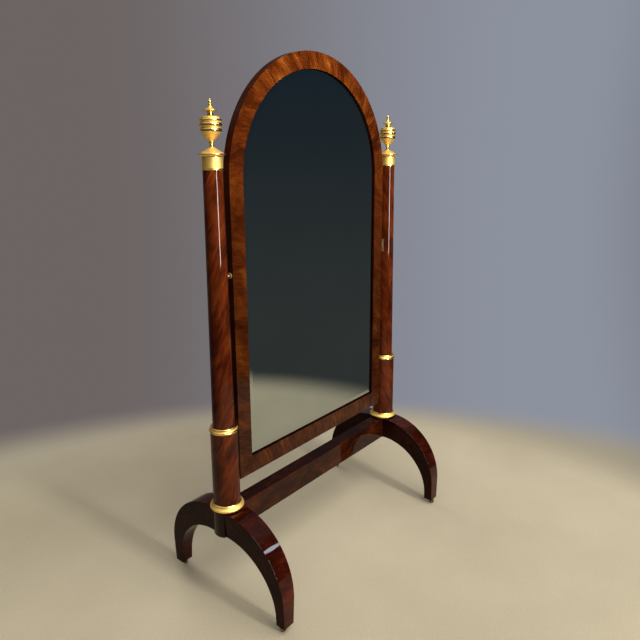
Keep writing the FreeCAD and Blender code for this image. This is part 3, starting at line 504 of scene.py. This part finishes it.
SOFTWOOD = softwood_finish("aged_softwood", 0.0)
dress("glass_fillets", SOFTWOOD)
dress("leg_dowels", SOFTWOOD)
print("fillets and dowels dressed")

# %% [markdown]
# ## Old mirror glass
# An old mirror is a tin and mercury layer behind glass. It reflects a little greyly, and damp
# creeps in from the edge as small dark specks. The shader is a metal with a very low roughness;
# the specks are noise, kept near the edge by the distance from the outline of the arch.

# %% Mirror finish
glass_low, glass_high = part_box("mirror_glass")
mirror = Finish("old_silvering")
x, y, z = mirror.axes()
lift = mirror.node("Math", {"operation": "MAXIMUM"}, {0: z - spring.z, 1: 0.0})
side_gap = glass_high.x - mirror.length(x, 0.0, lift)
foot_gap = z - glass_low.z
gap = mirror.node("Math", {"operation": "MINIMUM"}, {0: side_gap, 1: foot_gap})
near_edge = gap.between(0.005, 0.085, 1.0, 0.0)
foxing = mirror.noise(mirror.place, 420, 3, 0.7).between(0.62, 0.74)
blotch = mirror.noise(mirror.place, 38, 4, 0.65).between(0.50, 0.66)
damp = foxing * (near_edge * blotch * 0.7 + 0.05)
veil = mirror.noise(mirror.place, 3.5, 3, 0.5)
silver = mirror.mix(veil, (0.38, 0.425, 0.42, 1), (0.46, 0.50, 0.48, 1))
silver = mirror.mix(damp, silver, (0.06, 0.055, 0.05, 1))
mirror.set(base_color=silver, metallic=1.0, roughness=damp * 0.35 + veil * 0.02 + 0.008)
dress("mirror_glass", mirror.material)
print("glass", [round(v, 3) for v in glass_low])

# %% [markdown]
# ## Turned mounts
# Each mount is a turned ring, so it starts as a few corners of its half outline and is spun
# round the column's axis. A corner may carry a rounding in millimetres: after the spin, the ring
# of edges at that corner is bevelled, which gives true beads and hollows from very few numbers.
# A corner also names the gilding of the face that starts there: m for matt, b for burnished.


# %% A finished piece
def settle(name, mesh, materials, slot, *stood_for, body="stand"):
    """Make the finished mesh an object that rides on its body."""
    data = bpy.data.meshes.new(name)
    mesh.to_mesh(data)
    mesh.free()
    for material in materials:
        data.materials.append(material)
    piece = bpy.data.objects.new(name, data)
    bpy.context.scene.collection.objects.link(piece)
    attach(piece, body)
    if stood_for:
        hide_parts(*stood_for)
    print(name, len(data.polygons), "faces")
    return piece


# %% The lathe
BEAD_SEGMENTS = 5
CREASE = math.radians(38)


def lathe(name, node, corners, steps=96):
    """A turned piece that stands for a node; corners are (radius, height, rounding, gilding)."""
    low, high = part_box(node)
    axis_x = (low.x + high.x) / 2
    mesh = bmesh.new()
    ring = [mesh.verts.new((radius * MM, 0, height * MM)) for radius, height, _, _ in corners]
    outline = [mesh.edges.new((ring[i], ring[(i + 1) % len(ring)])) for i in range(len(ring))]
    bmesh.ops.spin(mesh, geom=ring + outline, cent=(0, 0, 0), axis=(0, 0, 1), dvec=(0, 0, 0),
                   angle=math.tau, steps=steps, use_merge=True, use_duplicate=False)
    bmesh.ops.remove_doubles(mesh, verts=mesh.verts, dist=1e-6)

    def key(vert):
        return round(math.hypot(vert.co.x, vert.co.y) / MM, 2), round(vert.co.z / MM, 2)

    starts = {(round(corner[0], 2), round(corner[1], 2)): i for i, corner in enumerate(corners)}
    for face in mesh.faces:
        found = sorted({starts[key(vert)] for vert in face.verts})
        first = found[-1] if found[0] == 0 and found[-1] == len(corners) - 1 else found[0]
        face.material_index = 1 if corners[first][3] == "b" else 0
    bmesh.ops.recalc_face_normals(mesh, faces=mesh.faces)
    for radius, height, rounding, _ in corners:
        if rounding:
            spot = (round(radius, 2), round(height, 2))
            rim = [edge for edge in mesh.edges if all(key(vert) == spot for vert in edge.verts)]
            bmesh.ops.bevel(mesh, geom=rim, offset=rounding * MM, offset_type="OFFSET",
                            segments=BEAD_SEGMENTS, profile=0.5, affect="EDGES", material=-1)
    for edge in mesh.edges:
        if len(edge.link_faces) == 2 and edge.calc_face_angle(0) > CREASE:
            edge.smooth = False
    for face in mesh.faces:
        face.smooth = True
    bmesh.ops.translate(mesh, verts=mesh.verts, vec=(axis_x, 0, low.z))
    return settle(name, mesh, (GILT_MATT, GILT_BRIGHT), "gilt_bronze", node)


# %% [markdown]
# ## The profiles
# The base ring has a flat band, a hollow and a thin burnished lip. The middle ring has two beads
# with a hollow between them. The capital is a matt drum between a bead and a spreading eave. The
# finial is a roof, a waist, a bowl with three hoops, and a stalk with a small brim and a bud.

# %% Profiles in millimetres from each node's foot
PROFILES = {
    "base_ring": [
        (43.4, 0, 0, "m"), (54.0, 0, 0.7, "m"), (54.3, 4.4, 1.5, "m"), (51.6, 6.8, 1.2, "m"),
        (47.6, 10.2, 3.0, "m"), (46.6, 14.9, 0, "m"), (47.4, 15.0, 0.3, "b"),
        (47.4, 16.4, 0.6, "b"), (45.4, 18.0, 0.6, "b"), (43.4, 18.0, 0, "m"),
    ],
    "middle_ring": [
        (35.2, 0, 0, "m"), (44.8, 0, 1.0, "b"), (46.0, 2.0, 1.5, "b"), (46.0, 4.6, 1.5, "b"),
        (44.2, 6.6, 0.5, "b"), (42.6, 6.9, 0.2, "m"), (40.6, 8.6, 1.5, "m"), (39.9, 11.4, 0, "m"),
        (41.2, 11.6, 0.6, "b"), (42.0, 13.0, 0.8, "b"), (41.6, 15.4, 0.8, "b"),
        (39.6, 16.9, 0.4, "b"), (35.2, 16.9, 0, "m"),
    ],
    "capital": [
        (26.1, 0, 0, "m"), (30.6, 0, 0.8, "b"), (31.0, 1.6, 0.9, "b"), (30.6, 3.4, 0.8, "b"),
        (29.5, 4.1, 0.1, "b"), (29.5, 5.2, 0.1, "m"), (29.4, 36.2, 0.1, "m"),
        (30.1, 36.4, 0.3, "b"), (30.1, 37.9, 0.3, "b"), (30.3, 38.6, 0.2, "m"),
        (33.0, 41.4, 2.4, "m"), (37.6, 42.3, 0.4, "b"), (39.2, 43.0, 0.5, "b"),
        (39.4, 45.2, 0.5, "b"), (38.6, 46.0, 0.3, "b"), (3.2, 46.0, 0, "m"), (3.2, 38.0, 0, "m"),
        (26.1, 38.0, 0, "m"),
    ],
    "finial_base": [
        (3.1, 0, 0, "m"), (34.4, 0, 0.2, "m"), (34.0, 1.0, 0.3, "m"), (28.8, 3.8, 1.5, "m"),
        (8.4, 16.6, 1.2, "m"), (7.6, 17.2, 0.3, "b"), (7.6, 19.6, 0.7, "b"),
        (5.2, 20.6, 0.4, "b"), (4.4, 23.4, 1.5, "b"), (4.6, 26.4, 0.8, "b"),
        (7.6, 28.0, 0.9, "b"), (7.9, 31.2, 1.0, "b"), (6.4, 33.0, 0.5, "b"), (3.1, 33.0, 0, "m"),
    ],
    "finial_urn": [
        (3.1, 0, 0, "m"), (6.5, 0, 0.4, "b"), (7.4, 1.4, 0.5, "b"), (8.0, 2.4, 0.4, "m"),
        (15.5, 9.0, 3.0, "m"), (24.0, 18.5, 4.0, "m"), (27.6, 24.4, 0.3, "m"),
        (29.4, 25.4, 1.3, "b"), (31.0, 28.4, 2.2, "b"), (31.0, 32.2, 2.2, "b"),
        (29.4, 35.2, 1.2, "b"), (27.2, 36.0, 0.3, "m"), (27.0, 39.2, 0.3, "m"),
        (30.2, 40.4, 1.5, "b"), (32.2, 43.4, 2.4, "b"), (32.2, 46.8, 2.4, "b"),
        (30.6, 50.2, 1.3, "b"), (28.2, 51.2, 0.3, "m"), (28.0, 54.0, 0.2, "m"),
        (3.1, 54.0, 0, "m"),
    ],
    "finial_lid": [
        (3.0, 0, 0, "m"), (28.0, 0, 0.2, "m"), (30.4, 0.9, 1.0, "b"), (31.8, 3.0, 1.5, "b"),
        (31.4, 5.6, 1.4, "b"), (29.2, 7.2, 0.8, "b"), (26.2, 7.9, 0.3, "m"),
        (25.6, 12.4, 0.9, "m"), (21.6, 14.0, 1.2, "b"), (12.0, 15.4, 1.6, "b"),
        (8.8, 17.2, 0.8, "b"), (8.2, 22.6, 1.2, "b"), (10.6, 25.8, 1.0, "b"),
        (18.6, 28.2, 0.5, "b"), (20.0, 30.0, 0.4, "b"), (19.2, 31.2, 0.3, "m"),
        (12.0, 33.0, 2.6, "m"), (5.6, 37.6, 1.6, "m"), (3.8, 43.6, 0.6, "b"),
        (4.6, 45.0, 0.7, "b"), (4.6, 46.6, 0.6, "b"), (3.1, 47.6, 0.3, "b"),
        (3.1, 49.4, 0.3, "b"), (5.0, 51.4, 0.9, "b"), (5.3, 53.4, 0.9, "b"),
        (4.0, 56.4, 0.8, "b"), (2.4, 57.8, 0.3, "b"), (1.6, 60.6, 0.6, "b"), (0.02, 61.9, 0, "b"),
        (0.02, 12.0, 0, "m"), (3.0, 12.0, 0, "m"),
    ],
}
for side in SIDES:
    for mount, corners in PROFILES.items():
        lathe(f"{mount}_turned_{side}", f"{mount}_{side}", corners)

# %% [markdown]
# ## The back
# From behind the mirror shows boards, not a sheet: upright planks, let into the frame, each with
# its edges eased by a plane. An arch is cut into strips by two planes per board, then each strip
# is given its thickness and its edges are bevelled.

# %% Backboard planks
board_low, board_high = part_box("backboard")
PLANKS, PLANK_GAP, ARCH_STEPS = 5, 0.0008, 64
PLANK_EASE = 0.0028
BACK_PLANE = 1e-5


def arch_face(mesh, half, foot, top_centre, y):
    """A flat face with a round head."""
    corner = mesh.verts.new((half, y, top_centre))
    spun = bmesh.ops.spin(mesh, geom=[corner], cent=(0, y, top_centre), axis=(0, -1, 0),
                          dvec=(0, 0, 0), angle=math.pi, steps=ARCH_STEPS, use_merge=False,
                          use_duplicate=False)
    last = spun["geom_last"][0]
    low_left = mesh.verts.new((-half, y, foot))
    low_right = mesh.verts.new((half, y, foot))
    mesh.edges.new((last, low_left))
    mesh.edges.new((low_left, low_right))
    mesh.edges.new((low_right, corner))
    bmesh.ops.contextual_create(mesh, geom=mesh.edges[:])


for number in range(PLANKS):
    plank = bmesh.new()
    arch_face(plank, board_high.x, board_low.z, spring.z, board_low.y)
    width = (board_high.x - board_low.x) / PLANKS
    left = board_low.x + number * width + (PLANK_GAP if number else 0)
    right = board_low.x + (number + 1) * width - (PLANK_GAP if number < PLANKS - 1 else 0)
    for edge_x, normal in ((left, (-1, 0, 0)), (right, (1, 0, 0))):
        bmesh.ops.bisect_plane(plank, geom=plank.verts[:] + plank.edges[:] + plank.faces[:],
                               plane_co=(edge_x, 0, 0), plane_no=normal, clear_outer=True)
    solid = bmesh.ops.extrude_face_region(plank, geom=plank.faces[:])
    moved = [item for item in solid["geom"] if isinstance(item, bmesh.types.BMVert)]
    bmesh.ops.translate(plank, verts=moved, vec=(0, board_high.y - board_low.y, 0))
    bmesh.ops.recalc_face_normals(plank, faces=plank.faces)
    rim = [edge for edge in plank.edges
           if all(vert.co.y > board_high.y - BACK_PLANE for vert in edge.verts)]
    bmesh.ops.bevel(plank, geom=rim, offset=PLANK_EASE, offset_type="OFFSET", segments=2,
                    profile=0.5, affect="EDGES", material=-1)
    stood = ("backboard",) if number == 0 else ()
    board_finish = softwood_finish(f"aged_softwood_{number}", 3.7 * number + 1)
    settle(f"back_plank_{number}", plank, [board_finish], "softwood", *stood, body="mirror")

# %% [markdown]
# ## Screws
# Hand-made screws have a flat head with a filed slot, and no two slots point the same way. Each
# head is a short cylinder cut by a slot: two planes split its top and the strip between them is
# pushed down.


# %% Slotted screw heads
SCREW_RADIUS, SCREW_THICKNESS, SCREW_INSET = 0.0034, 0.0016, 0.004


def screw_head(centre, normal, radius, thickness, turn):
    """A slotted head whose face is at the centre and looks along the normal."""
    head = bmesh.new()
    bmesh.ops.create_cone(head, cap_ends=True, segments=24, radius1=radius * 0.97,
                          radius2=radius, depth=thickness)
    bmesh.ops.translate(head, verts=head.verts, vec=(0, 0, -thickness / 2))
    for offset in (-radius * 0.16, radius * 0.16):
        bmesh.ops.bisect_plane(head, geom=head.verts[:] + head.edges[:] + head.faces[:],
                               plane_co=(0, offset, 0), plane_no=(0, 1, 0))
    slot = [face for face in head.faces
            if face.normal.z > 0.9 and abs(face.calc_center_median().y) < radius * 0.1]
    bmesh.ops.inset_individual(head, faces=slot, thickness=radius * 0.05, depth=0)
    pushed = bmesh.ops.extrude_face_region(head, geom=slot)["geom"]
    bmesh.ops.delete(head, geom=slot, context="FACES_ONLY")
    low = [item for item in pushed if isinstance(item, bmesh.types.BMVert)]
    bmesh.ops.translate(head, verts=low, vec=(0, 0, -thickness * 0.45))
    bmesh.ops.recalc_face_normals(head, faces=head.faces)
    way = Vector(normal).to_track_quat("Z", "Y").to_matrix().to_4x4()
    place = Matrix.Translation(centre) @ way @ Matrix.Rotation(turn, 4, "Z")
    bmesh.ops.transform(head, matrix=place, verts=head.verts)
    return head


def screws(name, node, places, radius, material, slot, body):
    """The slotted heads of all the screws of one node; the shanks are hidden and not made."""
    whole = bmesh.new()
    for number, (centre, normal) in enumerate(places):
        one = screw_head(centre, normal, radius, SCREW_THICKNESS, 0.7 + number * 1.9)
        part = bpy.data.meshes.new("one_screw")
        one.to_mesh(part)
        one.free()
        whole.from_mesh(part)
        bpy.data.meshes.remove(part)
    return settle(name, whole, [material], slot, node, body=body)


# %% The backboard's screws
BACKWARDS = (0, 1, 0)
frame_back = head_high.y
line = board_high.x - SCREW_INSET
board_foot = board_low.z
places = []
for share in (0.1, 0.5, 0.9):
    level = board_foot + (spring.z - board_foot) * share
    places += [(Vector((way * line, frame_back, level)), BACKWARDS) for way in (-1, 1)]
level = board_foot + SCREW_INSET
places += [(Vector((way * line / 2, frame_back, level)), BACKWARDS) for way in (-1, 1)]
for degrees in (30, 60, 90, 120, 150):
    angle = math.radians(degrees)
    spot = Vector((line * math.cos(angle), frame_back, spring.z + line * math.sin(angle)))
    places.append((spot, BACKWARDS))
screws("backboard_screw_heads", "backboard_screws", places, SCREW_RADIUS, IRON, "iron", "mirror")

# %% [markdown]
# ## Floor
# The floor is a pale disc that fades out, so that the glass shows a strip of floor and the quiet
# dark of a room above it. The fade is a mix with a transparent shader, led by the distance from
# the middle of the disc.

# %% Floor
FLOOR_X, FLOOR_Y, FLOOR_RADIUS = -0.50, -0.42, 2.0
floor = Finish("pale_floor")
x, y, z = floor.axes()
knots = floor.noise(floor.vector(x * 210, y * 210, 0.0), 1, 2, 0.6)
worn = floor.noise(floor.place, 1.6, 3, 0.5)
pale = floor.ramp(knots * 0.5 + worn * 0.5, [(0.30, (0.32, 0.275, 0.185)),
                                             (0.70, (0.43, 0.375, 0.265))])
floor.set(base_color=pale, roughness=0.9, normal=floor.bump(knots, 0.002, 0.5))
fade = floor.length(x - FLOOR_X, y - FLOOR_Y, 0.0).between(1.55, 1.95)
shaded = Wire(floor, floor.shader.outputs[0])
clear = floor.node("BsdfTransparent")
blend = floor.node("MixShader", None, {0: fade, 1: shaded, 2: clear})
floor.tree.links.new(blend.socket, floor.tree.nodes["Material Output"].inputs["Surface"])

ground = bmesh.new()
bmesh.ops.create_circle(ground, cap_ends=True, radius=FLOOR_RADIUS, segments=96)
bmesh.ops.translate(ground, verts=ground.verts, vec=(FLOOR_X, FLOOR_Y, 0))
ground_data = bpy.data.meshes.new("floor")
ground.to_mesh(ground_data)
ground.free()
ground_data.materials.append(floor.material)
floor_object = bpy.data.objects.new("floor", ground_data)
bpy.context.scene.collection.objects.link(floor_object)
print("floor radius", FLOOR_RADIUS)

# %% [markdown]
# ## Room
# Glass needs a room to reflect. The world's colour depends on the direction alone: a plain wall
# behind the mirror with a floor tone below it, a dark side, which is the one the glass shows, and
# dim walls under a bright ceiling everywhere else.

# %% Room
world = bpy.data.worlds.new("room")
bpy.context.scene.world = world
world.use_nodes = True


# Level directions: into the dark side, to the wall behind the mirror, and along that wall.
DARK_SIDE = (0.743, -0.669, 0.0)
FAR_WALL = (0.766, 0.643, 0.0)
ALONG_WALL = (0.643, -0.766, 0.0)


class Room(Finish):
    """The world's graph, with the same method for its nodes."""

    def __init__(self):
        self.tree = world.node_tree
        self.place = self.node("TexCoord", output="Generated")

    def towards(self, direction):
        """How far a ray looks along a direction, from -1 to 1."""
        return self.node("VectorMath", {"operation": "DOT_PRODUCT"},
                         {0: self.place, 1: direction}, output="Value")


room = Room()
dark_side = room.towards(DARK_SIDE).between(0.52, 0.80)
beyond = room.towards(FAR_WALL).between(0.0, 0.62)
sideways = room.towards(ALONG_WALL).between(-0.35, 0.35)
_, _, up = room.axes()
wall = room.mix(sideways, (0.150, 0.128, 0.125, 1), (0.265, 0.285, 0.345, 1))
wall = room.mix(up.between(-0.43, -0.38), (0.37, 0.325, 0.235, 1), wall)
around = room.mix(up.between(0.38, 0.80), (0.060, 0.061, 0.064, 1), (0.75, 0.72, 0.68, 1))
night = room.mix(up.between(-0.30, 0.20), (0.058, 0.062, 0.062, 1), (0.020, 0.032, 0.046, 1))
tone = room.mix(dark_side, room.mix(beyond, around, wall), night)
background = room.tree.nodes["Background"]
room.tree.links.new(tone.socket, background.inputs["Color"])
background.inputs["Strength"].default_value = 1.0
print("room graph", len(room.tree.nodes), "nodes")

# %% [markdown]
# ## Lights
# Three lights show in the polish: a tall narrow window, which draws the thin line down each
# column, a small skylight and the ceiling. The others only lift the shadows. The window and the
# skylight are linked to the curved pieces alone, because a flat polished face would mirror them
# as a white bar.


# %% Lights
def light(name, place, target, size, power, colour=(1, 1, 1), shines=False, spread=180):
    """A rectangular light aimed at a point; only one that shines is seen in the polish."""
    lamp = bpy.data.lights.new(name, "AREA")
    lamp.shape = "RECTANGLE"
    lamp.size, lamp.size_y = size
    lamp.energy, lamp.color = power, colour
    lamp.spread = math.radians(spread)
    item = bpy.data.objects.new(name, lamp)
    aim = (Vector(target) - Vector(place)).to_track_quat("-Z", "Y").to_matrix().to_4x4()
    item.matrix_world = Matrix.Translation(place) @ aim
    item.visible_glossy = shines
    item.visible_camera = False
    bpy.context.scene.collection.objects.link(item)
    return item


window = light("window", (-0.25, -4.6, 1.65), (0, 0, 1.0), (0.46, 2.6), 250,
               (1.0, 0.97, 0.93), shines=True)
skylight = light("skylight", (2.2, -2.9, 2.9), (-0.3, -0.2, 0.2), (0.22, 0.42), 7,
                 (0.80, 0.88, 1.0), shines=True)
light("ceiling", (-0.2, -1.7, 3.4), (0, 0, 0.9), (2.2, 1.6), 72, (1.0, 0.97, 0.92), shines=True)
light("upper_window", (-1.2, -2.6, 2.5), (0, 0, 1.85), (0.8, 0.6), 11, (1.0, 0.96, 0.90),
      spread=40)
light("front_fill", (-2.6, -3.4, 2.9), (0, 0, 1.1), (2.4, 2.0), 26, (1.0, 0.96, 0.90))
light("side_fill", (3.2, -2.0, 2.4), (0, 0, 0.9), (2.0, 2.0), 16, (0.95, 0.97, 1.0))
light("back_fill", (0.8, 3.6, 2.6), (0, 0, 0.9), (2.4, 2.0), 75, (0.97, 0.98, 1.0))

# %% What the windows light
FLAT_POLISHED = ("mirror_glass", "stretcher", "arched_head", "stile_left", "stile_right",
                 "bottom_rail")
flat = [nodes[name] for name in FLAT_POLISHED]
lit = bpy.data.collections.new("lit_by_the_windows")
for item in bpy.context.scene.objects:
    if item.type == "MESH" and item not in flat:
        lit.objects.link(item)
for item in (window, skylight):
    item.light_linking.receiver_collection = lit

# %% [markdown]
# ## Camera
# The camera stands in front and to the left at 1.4 m, looks a little down, and has a short lens.
# Its small shift only settles the framing.

# %% Camera
EYE = Vector((-1.578, -1.316, 1.414))
HEADING, PITCH, ROLL = -50.0, 77.53, -0.46
camera_data = bpy.data.cameras.new("camera")
camera_data.sensor_width = 36
camera_data.lens = 33.3
camera_data.shift_x, camera_data.shift_y = 0.010, -0.046
camera = bpy.data.objects.new("camera", camera_data)
camera.matrix_world = (Matrix.Translation(EYE) @ Matrix.Rotation(math.radians(HEADING), 4, "Z")
                       @ Matrix.Rotation(math.radians(PITCH), 4, "X")
                       @ Matrix.Rotation(math.radians(ROLL), 4, "Z"))
bpy.context.scene.collection.objects.link(camera)
bpy.context.scene.camera = camera
bpy.context.scene.view_settings.view_transform = "Standard"
print("camera at", tuple(round(part, 3) for part in EYE), "lens", camera_data.lens)
